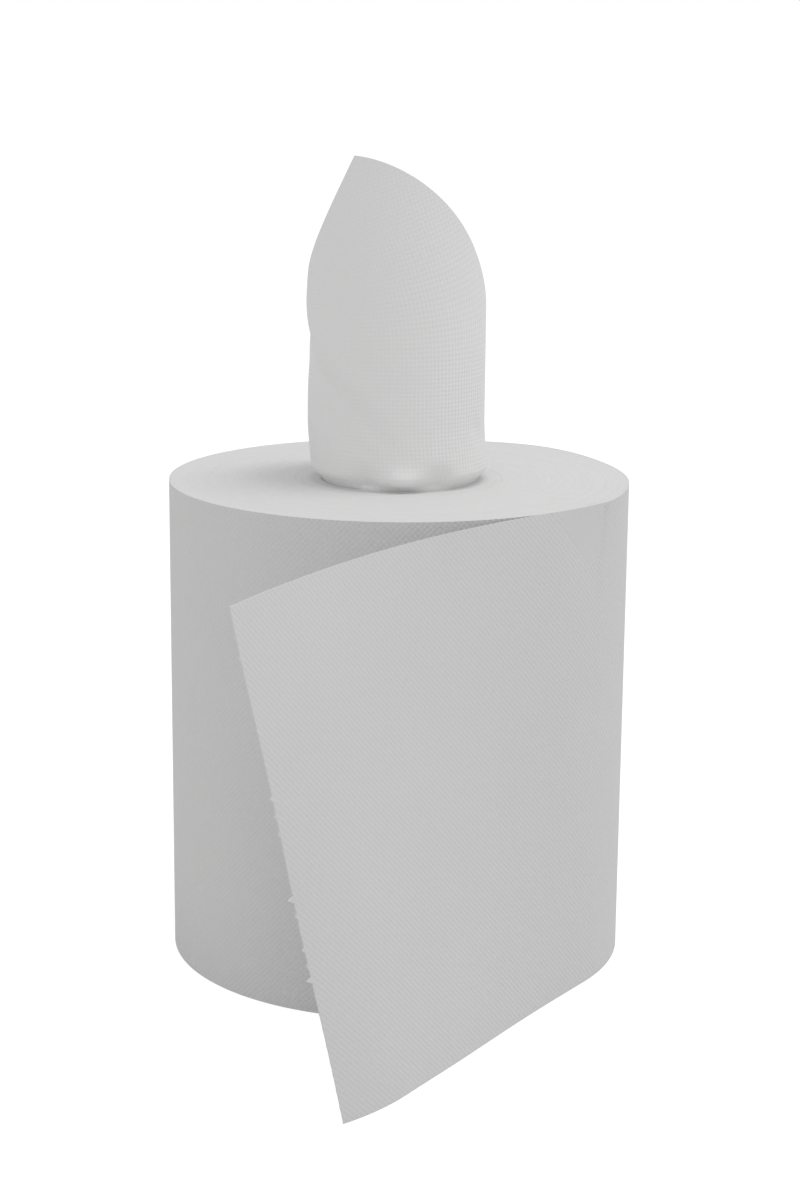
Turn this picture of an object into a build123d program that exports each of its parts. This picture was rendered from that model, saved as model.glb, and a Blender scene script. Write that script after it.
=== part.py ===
"""A centre-pull paper towel roll, standing on its end: one long paper web, wound without a core.

The web's outer end hangs off the roll as a loose tail that stands on its lower edge, and its
inner end is pulled up through the centre hole, where it stands as a curled tube with a pointed tip.
Millimetres, +Z up, origin on the roll's axis in the plane of its base.
"""

from build123d import *
from math import cos, exp, pi, radians, sin
import os

# wound roll
roll_radius = 95.0
roll_height = 200.0
hole_radius = 32.0
web = 0.5  # thickness of one turn of the embossed two-ply paper
lap = 0.1  # how far the last turn sinks into the turn below it
step_angle = 10.0  # where the drawn last turn starts, from +X

# stretches of a path are (length, turn), and a turn to the left is positive
# tail: it leaves the roll along its foot first, and higher up it hugs the roll for longer
peel_angle = -35.7  # where its foot leaves the roll, from +X
tail_foot = [(22.5, 0.5), (110.6, 2.4), (32.7, -21.6)]
tail_head = [(28.2, -17.0), (138.3, 19.0), (40.9, 4.2)]
tail_droop = 5.1  # how far its top corner sinks

# curl: its tube lines the hole, swells over the rim and stands nearly straight
curl_depth = 40.0  # how far it lines the hole
curl_swell = [(1.8, -35.0), (7.5, 33.0), (25.0, 0.0), (30.0, 2.0)]
tip_height = 132.5  # above the roll
tip_angle = -118.5  # from +X
# each edge runs down from the tip round the tube: (its slope at the tip, its slope later, the arc between)
side_edge = (1.85, 1.05, 28.0)
end_edge = (0.05, 1.32, 55.0)
edge_points = 37
spare = 10.0  # how far a cutter runs past what it cuts


def polar(radius, angle):
    """The point of the ground plane at this radius and angle from +X."""
    return Vector(radius * cos(radians(angle)), radius * sin(radians(angle)))


def follow(start, heading, stretches, inset):
    """Draw the stretches one after another, this far to the right of their path, and give both ends."""
    first = start + Vector(heading.Y, -heading.X) * inset
    here = first
    for length, turn in stretches:
        if turn:
            radius = length / radians(abs(turn)) + (inset if turn > 0 else -inset)
            stretch = JernArc(here, heading, radius, turn)
        else:
            stretch = Line(here, here + heading * length)
        here = stretch @ 1
        heading = stretch % 1
    return first, here


def band(start, heading, stretches, left, right):
    """Draw the closed outline of a sheet that follows the stretches, from its left to its right face."""
    left_start, left_end = follow(start, heading, stretches, left)
    right_start, right_end = follow(start, heading, stretches, right)
    Line(left_start, right_start)
    Line(left_end, right_end)
    return left_end


def edge_drop(arc, at_tip, later, bend):
    """How far an edge of the curl lies below the tip, this far round the tube."""
    eased = min(arc, bend)
    return later * arc + (at_tip - later) * (eased - eased**2 / (2 * bend))


def edge_line(radius, edge, start, stop):
    """Points of an edge of the curl between two angles round from the tip, in the upright plane there."""
    points = []
    for i in range(edge_points):
        angle = start + (stop - start) * i / (edge_points - 1)
        points.append(Vector(radius * cos(angle), tip_height - edge_drop(radius * angle, *edge)))
    return points


# the wound turns: a spiral of quarter circles, with a step a web high where the drawn last turn starts
with BuildPart() as wound:
    with BuildSketch():
        with BuildLine():
            growth = web / 4
            core = roll_radius - web + growth / 2
            quarters = [(radians(90) * (core + i * growth), -90) for i in range(4)]
            inner_step = polar(roll_radius - web, step_angle)
            outer_step = follow(inner_step, polar(1, step_angle - 90), quarters, 0)[1]
            Line(outer_step, inner_step)
        make_face()
        Circle(hole_radius, mode=Mode.SUBTRACT)
    extrude(amount=roll_height)

# the last turn and the tail that hangs off it, cut so that its top slopes down to the loose corner
with BuildPart() as tail:
    hug = step_angle - peel_angle
    hugging = (roll_radius * radians(hug), -hug)
    for height, stretches in ((0, tail_foot), (roll_height, tail_head)):
        with BuildSketch(Plane.XY.offset(height)):
            with BuildLine():
                corner = band(polar(roll_radius, step_angle), polar(1, step_angle - 90),
                              [hugging] + stretches, 0, web + lap)
            make_face()
    loft(ruled=True)
    root = polar(roll_radius, peel_angle)
    level = corner - root
    slope = level - Vector(0, 0, tail_droop)
    top_plane = Plane((root.X, root.Y, roll_height), x_dir=slope, z_dir=slope.cross(level.cross(slope)))
    split(bisect_by=top_plane, keep=Keep.BOTTOM)

# the inner end: a tube that lines the hole, swells over its rim and is cut along the web's two edges
with BuildPart() as curl:
    with BuildSketch(Plane.XZ):
        with BuildLine():
            straight = tip_height + spare / 2 - sum(length for length, turn in curl_swell)
            foot = Vector(hole_radius, roll_height - curl_depth)
            top = band(foot, Vector(0, 1), [(curl_depth, 0)] + curl_swell + [(straight, 0)], 0, -web)
        make_face()
    revolve(axis=Axis.Z)
    across = polar(1, tip_angle)
    upright = Plane((0, 0, roll_height), x_dir=across, z_dir=across.cross(Vector(0, 0, 1)))
    # the edges cross in a notch at the back, this far round on the side of the long edge
    round_tube = 2 * pi * top.X
    gap = edge_drop(round_tube, *end_edge) - edge_drop(0, *side_edge)
    late = edge_drop(round_tube, *side_edge) - side_edge[1] * round_tube
    notch = (gap - late) / (side_edge[1] + end_edge[1]) / top.X
    long_side = [(side_edge, 0, notch), (end_edge, 2 * pi - notch, pi)]
    end_side = [(end_edge, 0, pi)]
    for edges, reach in ((long_side, 2 * hole_radius), (end_side, -2 * hole_radius)):
        with BuildSketch(upright):
            with BuildLine():
                rim = []
                for edge in edges:
                    rim += edge_line(top.X, *edge)[1 if rim else 0:]
                Polyline(*rim)
                clear = tip_height + spare
                Polyline(rim[-1], rim[-1] - Vector(spare, 0), Vector(rim[-1].X - spare, clear),
                         Vector(rim[0].X + spare, clear), rim[0] + Vector(spare, 0), rim[0])
            make_face()
        extrude(amount=reach, mode=Mode.SUBTRACT)

with BuildPart() as paper_roll:
    add(wound.part)
    add(tail.part)
    add(curl.part)
paper_roll.part.label = "paper_roll"

os.makedirs("parts", exist_ok=True)
export_step(paper_roll.part, "parts/paper_roll.step")
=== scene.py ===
import bpy
from math import atan2, cos, degrees, exp, hypot, pi, radians, sin, sqrt
from random import Random
from mathutils import Matrix, Vector


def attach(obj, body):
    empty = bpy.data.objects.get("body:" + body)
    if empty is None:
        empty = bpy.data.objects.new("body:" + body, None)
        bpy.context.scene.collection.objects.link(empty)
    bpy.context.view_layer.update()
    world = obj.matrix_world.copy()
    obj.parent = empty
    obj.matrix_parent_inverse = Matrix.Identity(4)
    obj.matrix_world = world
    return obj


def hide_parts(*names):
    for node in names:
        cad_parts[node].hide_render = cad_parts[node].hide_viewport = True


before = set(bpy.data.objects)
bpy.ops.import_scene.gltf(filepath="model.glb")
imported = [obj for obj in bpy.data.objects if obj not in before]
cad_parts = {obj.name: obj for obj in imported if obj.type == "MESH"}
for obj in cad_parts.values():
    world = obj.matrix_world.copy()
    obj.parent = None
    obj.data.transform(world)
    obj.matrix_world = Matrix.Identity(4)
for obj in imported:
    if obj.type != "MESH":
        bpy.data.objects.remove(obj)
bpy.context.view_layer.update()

# ---------------------------------------------------------------- wound roll
# The wound turns: one long white two-ply towel web rolled up tight, with no core.
# Its ends show the edges of the turns as fine rings, a few of them proud of the rest.
roll_radius = 0.095
roll_height = 0.200
hole_radius = 0.032
web = 0.0005
body_radius = roll_radius - 2.06 * web
loose_radius = 0.080  # the turns outside this one are looser
ring_count = 34
roll_sides = 180
peel_angle = -35.7
paper_white = (0.735, 0.735, 0.732, 1)
paper_shade = (0.690, 0.690, 0.688, 1)


class Wire:
    """A socket in a node tree that can be added, multiplied and so on."""

    def __init__(self, tree, socket):
        self.tree = tree
        self.socket = socket

    def node(self, kind, settings=None, **links):
        """Add a node, set its settings, then its values and links, and give it back."""
        made = self.tree.nodes.new("ShaderNode" + kind)
        for name, value in (settings or {}).items():
            setattr(made, name, value)
        for name, value in links.items():
            key = int(name[1:]) if name[1:].isdigit() else name.replace("_", " ")
            if isinstance(value, Wire):
                self.tree.links.new(value.socket, made.inputs[key])
            else:
                made.inputs[key].default_value = value
        return made

    def out(self, made, name=0):
        return Wire(self.tree, made.outputs[name])

    def maths(self, operation, other=0.0):
        return self.out(self.node("Math", {"operation": operation}, _0=self, _1=other))

    def __add__(self, other):
        return self.maths("ADD", other)

    def __mul__(self, other):
        return self.maths("MULTIPLY", other)

    __radd__ = __add__
    __rmul__ = __mul__

    def noise(self, scale, detail=2.0, dimensions="3D"):
        """Cloudy noise between 0 and 1 at this place."""
        settings = {"noise_dimensions": dimensions}
        if dimensions == "1D":
            return self.out(self.node("TexNoise", settings, W=self, Scale=scale, Detail=detail))
        return self.out(self.node("TexNoise", settings, Vector=self, Scale=scale, Detail=detail))


def paper(name):
    """Start a paper finish, and give its material, its object coordinates and its shader."""
    material = bpy.data.materials.new(name)
    material.use_nodes = True
    tree = material.node_tree
    shader = tree.nodes["Principled BSDF"]
    shader.inputs["Specular IOR Level"].default_value = 0.25
    shader.inputs["Sheen Weight"].default_value = 0.08
    start = Wire(tree, None)
    place = start.out(start.node("TexCoord"), "Object")
    return material, place, shader


def finish_paper(place, shader, tone, height, distance, shade=paper_shade, white=paper_white):
    """Drive the shader's colour, roughness and relief from a tone and a height."""
    tree = place.tree
    colour = place.node("Mix", {"data_type": "RGBA"}, Factor=tone, _6=shade, _7=white)
    tree.links.new(colour.outputs[2], shader.inputs["Base Color"])
    rough = 0.86 + place.noise(300.0) * 0.12
    tree.links.new(rough.socket, shader.inputs["Roughness"])
    bump = place.node("Bump", None, Strength=1.0, Distance=distance, Height=height)
    tree.links.new(bump.outputs[0], shader.inputs["Normal"])


def lip(angle, height):
    """How far the loosened upper edge of the last turns stands out, round from +X in degrees."""
    back = 0.0050 * exp(-((angle - 50) / 20) ** 2)
    front = 0.0018 * exp(-((angle + 34) / 14) ** 2)
    return back * exp((height - roll_height) / 0.014) + front * exp((height - roll_height) / 0.02)


bpy.ops.object.select_all(action="DESELECT")
bpy.ops.mesh.primitive_cylinder_add(vertices=roll_sides, radius=body_radius, depth=roll_height,
                                    location=(0, 0, roll_height / 2))
wound = bpy.context.object
wound.name = "wound_roll"
bpy.ops.object.transform_apply(location=True)
bpy.ops.object.mode_set(mode="EDIT")
bpy.ops.mesh.select_mode(type="FACE")
bpy.ops.mesh.select_all(action="DESELECT")
bpy.ops.object.mode_set(mode="OBJECT")
for face in wound.data.polygons:
    face.select = abs(face.normal.z) > 0.9
bpy.ops.object.mode_set(mode="EDIT")
ring_width = (body_radius - hole_radius) / ring_count
turns = Random(5)
level = 0.0
# each ring of turns lies a little lower or higher than the last
for ring in range(ring_count):
    wanted = -0.0001 - 0.00035 * turns.random() if ring else -0.00004
    bpy.ops.mesh.inset(thickness=ring_width, depth=wanted - level)
    level = wanted
bpy.ops.mesh.delete(type="ONLY_FACE")
bpy.ops.mesh.select_mode(type="EDGE")
bpy.ops.mesh.select_all(action="DESELECT")
bpy.ops.object.mode_set(mode="OBJECT")
for edge in wound.data.edges:
    ends = [wound.data.vertices[v].co for v in edge.vertices]
    edge.select = all(hypot(p.x, p.y) < hole_radius + 0.0005 for p in ends)
bpy.ops.object.mode_set(mode="EDIT")
bpy.ops.mesh.bridge_edge_loops()
# rows of points near the top, to lean out smoothly
for height in (0.13, 0.15, 0.165, 0.175, 0.183, 0.189, 0.194, 0.197):
    bpy.ops.mesh.select_all(action="SELECT")
    bpy.ops.mesh.bisect(plane_co=(0, 0, height), plane_no=(0, 0, 1))
bpy.ops.mesh.select_all(action="SELECT")
bpy.ops.mesh.normals_make_consistent(inside=False)
bpy.ops.object.mode_set(mode="OBJECT")
# the outer turns wind outwards and lean out with the loosened one
for vertex in wound.data.vertices:
    reach = hypot(vertex.co.x, vertex.co.y)
    share = max(0.0, (reach - loose_radius) / (body_radius - loose_radius))
    angle = degrees(atan2(vertex.co.y, vertex.co.x))
    wound_out = web * (1 - ((angle - peel_angle) % 360) / 360)
    grown = 1 + share * (lip(angle, vertex.co.z) + wound_out) / reach
    vertex.co.x *= grown
    vertex.co.y *= grown
bpy.ops.object.shade_smooth_by_angle(angle=radians(30))

rolled, place, shader = paper("paper_turn_edges")
xyz = place.node("SeparateXYZ", None, Vector=place)
x, y = place.out(xyz, 0), place.out(xyz, 1)
radius = (x * x + y * y).maths("SQRT")
rings = radius.noise(420.0, 4.0, "1D")
clouds = place.noise(26.0)
tone = rings * 0.35 + clouds * 0.45 + place.noise(900.0) * 0.2
finish_paper(place, shader, tone, rings * 0.7 + place.noise(1400.0) * 0.3, 0.0005)
wound.data.materials.append(rolled)
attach(wound, "root")
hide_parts("paper_roll")

# ---------------------------------------------------------------- last turn and tail
# The last turn of the web and its loose outer end, embossed two-ply paper. It lies on the turns
# below, comes away at the front and stands on its lower edge. Its end was torn off at a
# perforation, so a few ties still stick out of it.
tail_foot = [(0.0225, 0.5), (0.1106, 2.4), (0.0327, -21.6)]  # (length, turn to the left)
tail_head = [(0.0282, -17.0), (0.1383, 19.0), (0.0409, 4.2)]
tail_droop = 0.0051
turn_columns = 130
tail_columns = 64
web_rows = 150
tie_pitch = 0.0063
short_tie = 0.00015
torn_fuzz = 0.0002
long_ties = {9: 0.0022, 10: 0.0009, 11: 0.0012, 13: 0.0010, 14: 0.0026, 18: 0.0010, 19: 0.0009,
             20: 0.0013, 28: 0.0010}


def along(stretches, share):
    """Where a path from the peel line is after this share of its length, and its heading."""
    here = Vector((cos(radians(peel_angle)), sin(radians(peel_angle)))) * roll_radius
    heading = radians(peel_angle - 90)
    left = share * sum(length for length, turn in stretches)
    for length, turn in stretches:
        step = min(left, length)
        bend = length / radians(turn)
        swing = step / bend
        here += bend * Vector((sin(heading + swing) - sin(heading),
                               cos(heading) - cos(heading + swing)))
        heading += swing
        left -= step
    return here, heading


def tie(height):
    """How far the torn end sticks out at this height."""
    number = round(height / tie_pitch)
    off = abs(height - number * tie_pitch)
    if off > 0.5 * roll_height / web_rows:
        return torn_fuzz
    return torn_fuzz + long_ties.get(number, short_tie)


def web_uv(length, height):
    """Place on the web, turned to the rows of the embossing, which cross the web at 45 degrees."""
    return (length + height) * sqrt(0.5), (height - length) * sqrt(0.5)


def sheet_mesh(name, columns):
    """Make a sheet from columns of (point, uv) running from its lower to its upper edge."""
    rows = len(columns[0])
    points = [point for column in columns for point, uv in column]
    faces = []
    for i in range(len(columns) - 1):
        for j in range(rows - 1):
            low = i * rows + j
            faces.append((low, low + 1, low + rows + 1, low + rows))
    mesh = bpy.data.meshes.new(name)
    mesh.from_pydata(points, [], faces)
    where = [uv for column in columns for point, uv in column]
    layer = mesh.uv_layers.new(name="web")
    for loop in mesh.loops:
        layer.data[loop.index].uv = where[loop.vertex_index]
    made = bpy.data.objects.new(name, mesh)
    bpy.context.collection.objects.link(made)
    return made


def thicken(made, flip):
    """Give a sheet its thickness, inwards from the face that shows."""
    bpy.ops.object.select_all(action="DESELECT")
    made.select_set(True)
    bpy.context.view_layer.objects.active = made
    bpy.ops.object.mode_set(mode="EDIT")
    bpy.ops.mesh.select_all(action="SELECT")
    if flip:
        bpy.ops.mesh.flip_normals()
    bpy.ops.object.mode_set(mode="OBJECT")
    solid = made.modifiers.new("thickness", "SOLIDIFY")
    solid.thickness = web
    solid.offset = -1
    bpy.ops.object.modifier_apply(modifier=solid.name)
    bpy.ops.object.shade_smooth_by_angle(angle=radians(50))


columns = []
turn_length = 2 * pi * roll_radius
for i in range(turn_columns):
    done = i / turn_columns
    angle = peel_angle + 360 * (1 - done)
    column = []
    for j in range(web_rows + 1):
        height = roll_height * j / web_rows
        reach = roll_radius - web * (1 - done) + lip(angle, height)
        point = (reach * cos(radians(angle)), reach * sin(radians(angle)), height)
        column.append((point, web_uv(turn_length * done, height)))
    columns.append(column)
foot_length = sum(length for length, turn in tail_foot)
head_length = sum(length for length, turn in tail_head)
for i in range(tail_columns + 1):
    share = i / tail_columns
    foot, foot_heading = along(tail_foot, share)
    head, head_heading = along(tail_head, share)
    top = roll_height - tail_droop * share ** 2
    column = []
    for j in range(web_rows + 1):
        rise = j / web_rows
        height = top * rise
        ground = foot.lerp(head, rise)
        heading = foot_heading + (head_heading - foot_heading) * rise
        angle = peel_angle - share * 100
        out = lip(angle, height) * (1 - share)
        out += 0.0007 * share * sin(9 * share + 5 * rise) * sin(7 * rise + 2)
        ground = ground + Vector((-sin(heading), cos(heading))) * -out
        length = turn_length + (foot_length + (head_length - foot_length) * rise) * share
        if i == tail_columns:
            ground = ground + Vector((cos(heading), sin(heading))) * tie(height)
        column.append(((ground.x, ground.y, height), web_uv(length, height)))
    columns.append(column)
tail = sheet_mesh("last_turn_and_tail", columns)
thicken(tail, flip=False)

emboss_pitch = 0.00167


def embossed_paper(name, depth, shade=paper_shade, white=paper_white):
    """The towel's own face: a square grid of dimples, soft fibres between them, and faint clouds."""
    material, place, shader = paper(name)
    web_place = place.out(place.node("UVMap", {"uv_map": "web"}))
    cut = place.node("SeparateXYZ", None, Vector=web_place)
    wave = 2 * pi / emboss_pitch
    across = (place.out(cut, 0) * wave).maths("SINE")
    along_web = (place.out(cut, 1) * wave).maths("SINE")
    dimples = across * 0.25 + along_web * 0.25 + 0.5
    fibres = place.noise(1500.0, 3.0)
    tone = dimples * 0.3 + place.noise(30.0) * 0.4 + fibres * 0.3
    finish_paper(place, shader, tone, dimples * 0.75 + fibres * 0.25, depth, shade, white)
    return material


towel = embossed_paper("embossed_towel", 0.00022)
tail.data.materials.append(towel)
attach(tail, "root")
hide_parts("paper_roll")
tail_area = roll_height * (turn_length + (foot_length + head_length) / 2)

# ---------------------------------------------------------------- curl at the centre
# The inner end of the same web, pulled up through the hole and rolled into a tube.
# It runs up at a slant, so its corner makes the tip and its two edges meet behind.
tube_radius = 0.0363
tube_lean = 0.0016
curl_depth = 0.040
tip_height = 0.3325
tip_angle = -118.3
side_edge = (1.85, 1.05, 0.028)  # (its slope at the tip, its slope later, the arc between)
end_edge = (0.05, 1.32, 0.055)
front_arc = 0.0176  # from the tip round to the front
layer_gap = 0.0009  # from the inner layer to the outer one behind
side_reach = 0.126
end_reach = 0.134
side_columns = 110
end_columns = 116
curl_rows = 120


def edge_drop(arc, at_tip, later, bend):
    """How far an edge of the curl lies below its tip, this far round the tube."""
    eased = min(arc, bend)
    return later * arc + (at_tip - later) * (eased - eased ** 2 / (2 * bend))


def smooth(value):
    value = min(max(value, 0.0), 1.0)
    return value * value * (3 - 2 * value)


def tube_shape(arc, height):
    """The tube's radius here: it lines the hole, swells over the rim and is creased below its tip."""
    above = height - roll_height
    round_front = arc - front_arc
    swell = smooth((above + 0.001) / 0.0065)
    reach = hole_radius - 0.0004 + (tube_radius - hole_radius + 0.0004) * swell
    # pinches on the rim, with a bulge between them
    rim = exp(-((above - 0.004) / 0.0045) ** 2) * smooth(above / 0.0015)
    reach -= 0.0026 * rim * exp(-((round_front + 0.015) / 0.0070) ** 2)
    reach -= 0.0028 * rim * exp(-((round_front - 0.017) / 0.0055) ** 2)
    reach += 0.0022 * rim * exp(-((round_front - 0.001) / 0.0065) ** 2)
    # a soft crease that slants down across the front from the left
    along_crease = round_front + 0.057
    below = height - (0.263 - 0.76 * along_crease)
    fade = smooth(along_crease / 0.010 + 1.5) * (1 - smooth((along_crease - 0.030) / 0.030))
    reach -= 0.0012 * fade * exp(-((below + 0.001) / 0.0050) ** 2)
    reach -= 0.0008 * fade * exp(-((below + 0.012) / 0.0100) ** 2)
    reach += 0.0005 * fade * exp(-((below - 0.010) / 0.0070) ** 2)
    # a short one low on the right
    side = round_front - 0.040
    slanted = side - 0.4 * (0.222 - height)
    reach -= 0.0004 * exp(-(slanted / 0.004) ** 2) * exp(-((height - 0.222) / 0.006) ** 2)
    # one layer lies over the other behind
    return reach + layer_gap * (smooth((arc + side_reach) / (side_reach + end_reach)) - 0.5)


columns = []
arcs = [-side_reach * (1 - i / side_columns) for i in range(side_columns)]
arcs += [end_reach * i / end_columns for i in range(end_columns + 1)]
for arc in arcs:
    drop = edge_drop(-arc, *side_edge) if arc < 0 else edge_drop(arc, *end_edge)
    low = roll_height - curl_depth
    high = max(tip_height - drop, low + 0.004)
    angle = radians(tip_angle) + arc / tube_radius
    column = []
    for j in range(curl_rows + 1):
        height = low + (high - low) * j / curl_rows
        reach = tube_shape(arc, height)
        lean = -tube_lean * smooth((height - roll_height) / 0.025)
        point = (reach * cos(angle) + lean, reach * sin(angle), height)
        slant = 0.38 * smooth((height - 0.245) / 0.075)
        column.append((point, (arc + slant * (height - 0.245) * 0.6, height - slant * arc)))
    columns.append(column)
curl = sheet_mesh("centre_curl", columns)
thicken(curl, flip=True)
# painted light: the curl is the same web as the roll but is given a lighter paper colour, standing in
# for light the lamps don't give it; with the same colour it came out too dark under this light
curl_painted_light_shade = (0.815, 0.815, 0.812, 1)
curl_painted_light_white = (0.865, 0.865, 0.862, 1)
curl.data.materials.append(embossed_paper("embossed_curl_painted_light", 0.00014, curl_painted_light_shade, curl_painted_light_white))
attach(curl, "root")
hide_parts("paper_roll")
mean_height = sum(column[-1][0][2] - column[0][0][2] for column in columns) / len(columns)
curl_area = mean_height * (side_reach + end_reach)

# ---------------------------------------------------------------- floor, light and camera
# A plain white floor and an even white surround, with one large soft lamp high on the right.
# Both are white where they are seen, and light the roll at a lower level than that.
bpy.ops.object.select_all(action="DESELECT")
bpy.ops.mesh.primitive_plane_add(size=14, location=(0, 0, 0))
floor = bpy.context.object
floor.name = "floor"
white = bpy.data.materials.new("floor_white")
white.use_nodes = True
tree = white.node_tree
tree.nodes.clear()
start = Wire(tree, None)
rays = start.node("LightPath")
seen = start.out(rays, "Is Camera Ray").maths("MAXIMUM", start.out(rays, "Is Glossy Ray"))
plain = start.out(start.node("BsdfDiffuse", None, Color=(0.80, 0.80, 0.80, 1)))
faint = start.out(start.node("BsdfDiffuse", None, Color=(0.30, 0.30, 0.30, 1)))
glow = start.out(start.node("Emission", None, Color=(1, 1, 1, 1), Strength=0.86))
shown = start.out(start.node("AddShader", None, _0=faint, _1=glow))
blend = start.out(start.node("MixShader", None, _0=seen, _1=plain, _2=shown))
start.node("OutputMaterial", None, Surface=blend)
floor.data.materials.append(white)

world = bpy.data.worlds.new("surround")
bpy.context.scene.world = world
world.use_nodes = True
tree = world.node_tree
tree.nodes.clear()
start = Wire(tree, None)
rays = start.node("LightPath")
seen = start.out(rays, "Is Camera Ray").maths("MAXIMUM", start.out(rays, "Is Glossy Ray"))
level = 0.71 + seen * 0.29
sky = start.node("Background", None, Color=(1, 1, 1, 1), Strength=level)
start.node("OutputWorld", None, Surface=start.out(sky))


def lamp(name, place, aim, size, power):
    light = bpy.data.lights.new(name, "AREA")
    light.shape = "DISK"
    light.size = size
    light.energy = power
    made = bpy.data.objects.new(name, light)
    bpy.context.collection.objects.link(made)
    made.location = place
    made.rotation_euler = (Vector(aim) - Vector(place)).to_track_quat("-Z", "Y").to_euler()


lamp("high right", (0.45, -0.12, 1.60), (0, 0, 0.15), 0.6, 5.5)

view = bpy.data.cameras.new("view")
view.lens = 73.51
view.sensor_width = 36
camera = bpy.data.objects.new("view", view)
bpy.context.collection.objects.link(camera)
right = Vector((0.99987, -0.01398, 0.00838))
up = Vector((-0.00495, 0.22956, 0.97328))
back = Vector((-0.01553, -0.97319, 0.22946))
turn = Matrix((right, up, back)).transposed().to_4x4()
camera.matrix_world = Matrix.Translation((-0.01493, -0.99394, 0.38304)) @ turn
bpy.context.scene.camera = camera
bpy.context.scene.view_settings.view_transform = "Standard"
